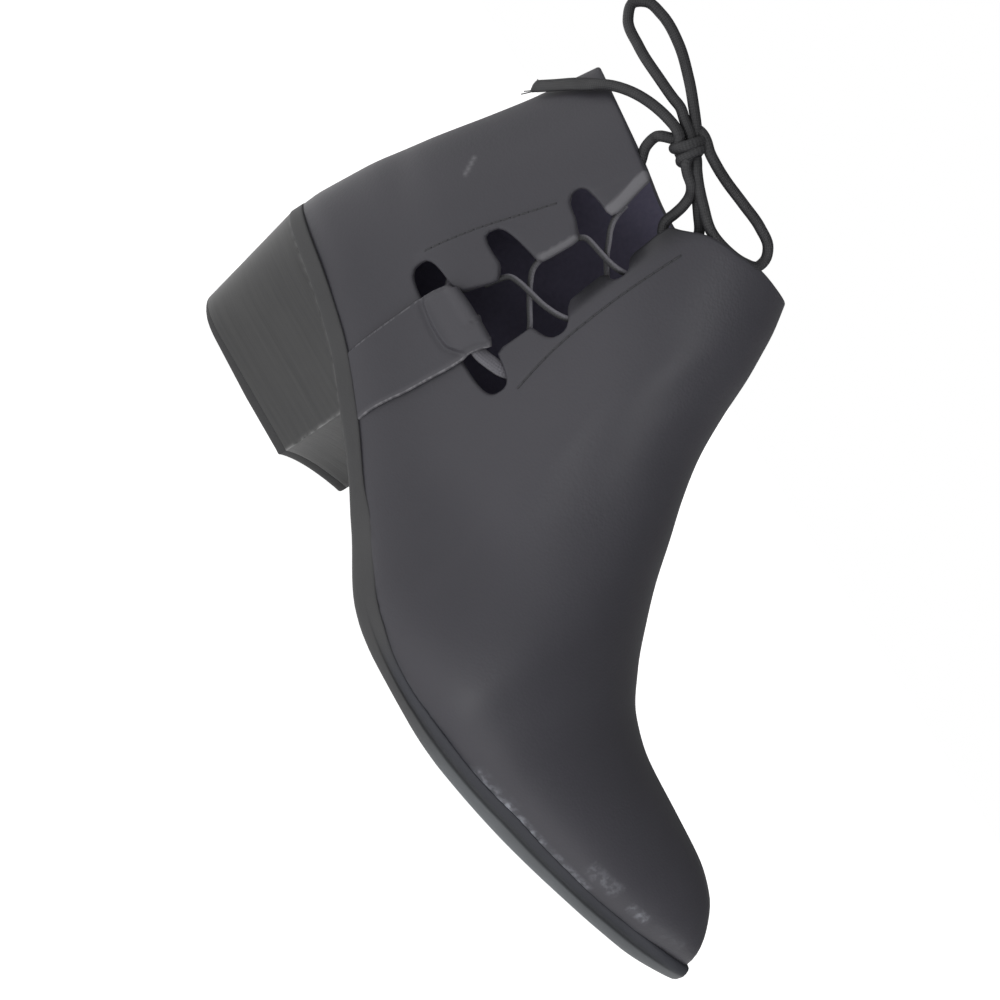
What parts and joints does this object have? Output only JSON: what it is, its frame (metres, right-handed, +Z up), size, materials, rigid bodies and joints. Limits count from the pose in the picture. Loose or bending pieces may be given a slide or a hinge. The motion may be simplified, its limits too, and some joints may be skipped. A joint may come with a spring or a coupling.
{
  "type": "ankle boot",
  "caption": "Pointed ankle boot with a stacked block heel, open at the collar, with a side split whose slots are crossed by a lace tied in a bow, over a heel strap.",
  "frame": {"origin": "on the floor under the middle of the boot's box, measured without the bow's free cords", "axes": "+X to the toe, -Y to the outer side with the cut-out, +Z up"},
  "size_m": [0.2652, 0.0936, 0.1667],
  "materials": {
    "upper_leather": "soft matt, slightly burnished",
    "strap_leather": "soft matt",
    "sole_rubber": "matt",
    "stacked_heel": "stacked layers, sanded and waxed",
    "lift_rubber": "matt",
    "sock_lining": "matt lining",
    "lace_cord": "waxed round cord"
  },
  "bodies": {
    "root": {"outsole": "sole_rubber", "heel_stack": "stacked_heel", "heel_top_lift": "lift_rubber", "insole": "sock_lining", "upper": "upper_leather", "heel_strap": "strap_leather", "lace_cross_lower": "lace_cord", "lace_cross_upper": "lace_cord", "lace_tie_back": "lace_cord", "lace_tie_front": "lace_cord", "lace_knot": "lace_cord", "lace_loop_back": "lace_cord", "lace_loop_front": "lace_cord", "lace_end_back": "lace_cord", "lace_end_front": "lace_cord"}
  },
  "joints": []
}
